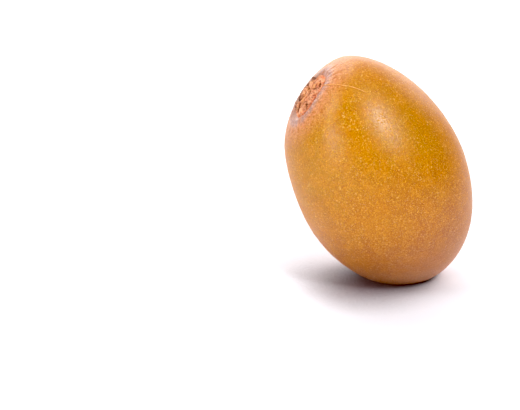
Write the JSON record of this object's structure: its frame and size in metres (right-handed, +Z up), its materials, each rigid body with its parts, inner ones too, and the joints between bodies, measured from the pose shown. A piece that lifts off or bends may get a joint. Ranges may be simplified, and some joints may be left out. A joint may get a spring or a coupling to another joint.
{
  "type": "golden kiwi fruit",
  "caption": "Whole golden kiwi fruit, an egg-shaped smooth-skinned fruit with a dry calyx scar at its stem end, leaning on a small flat resting spot.",
  "frame": {"origin": "on the flat resting spot, straight below the middle of the fruit", "axes": "+Z up from the resting spot; +X to the fruit's right and +Y to its back, with the stem end up and to the left (-X)"},
  "size_m": [0.0605, 0.053, 0.0727],
  "materials": {
    "skin": "satin",
    "dry_calyx": "matte",
    "dry_styles": "matte"
  },
  "bodies": {
    "root": {"fruit": "skin", "calyx": "dry_calyx", "style_tuft": "dry_styles"}
  },
  "joints": []
}
